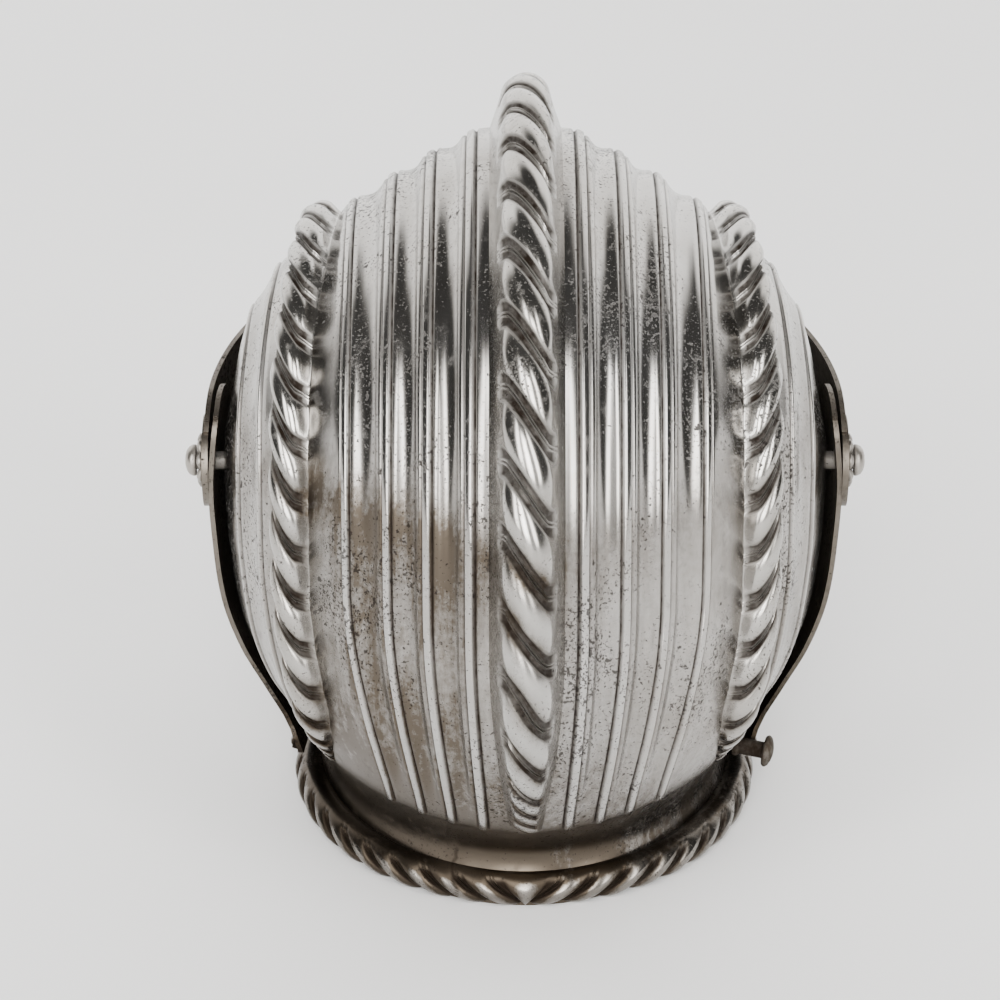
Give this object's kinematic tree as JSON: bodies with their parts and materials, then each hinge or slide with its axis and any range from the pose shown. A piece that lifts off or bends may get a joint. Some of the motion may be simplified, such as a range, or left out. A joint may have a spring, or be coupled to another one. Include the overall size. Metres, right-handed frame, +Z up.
{
  "type": "close_helmet",
  "caption": "fluted steel close helmet with roped combs over the skull, a roped neck rim, and a visor and bevor that lift on side pivots",
  "frame": {"origin": "the middle of the helmet's footprint box, on the surface that the neck rim stands on", "axes": "Z up through the crown; Y runs from the face at -Y to the nape at +Y; X runs to the wearer's left, along the pivot axis"},
  "size_m": [0.222, 0.2892, 0.2493],
  "materials": {
    "polished_steel": "hand polished plate, aged, with fine pits and brown stain in the recesses",
    "dull_steel": "filed and worn, darker than the plates"
  },
  "bodies": {
    "skull": {"skull": "polished_steel", "pivot_left": "dull_steel", "pivot_right": "dull_steel", "rosette_left": "dull_steel", "rosette_right": "dull_steel", "lock_stud": "dull_steel"},
    "bevor": {"bevor": "polished_steel"},
    "visor": {"visor": "polished_steel"}
  },
  "joints": [
    {"name": "bevor_lift", "type": "hinge", "parent": "skull", "child": "bevor", "pos_m": [0, 0.006, 0.1215], "axis": [-1, 0, 0], "range_deg": [0, 40]},
    {"name": "visor_lift", "type": "hinge", "parent": "bevor", "child": "visor", "pos_m": [0, 0.006, 0.1215], "axis": [-1, 0, 0], "range_deg": [0, 45]}
  ]
}
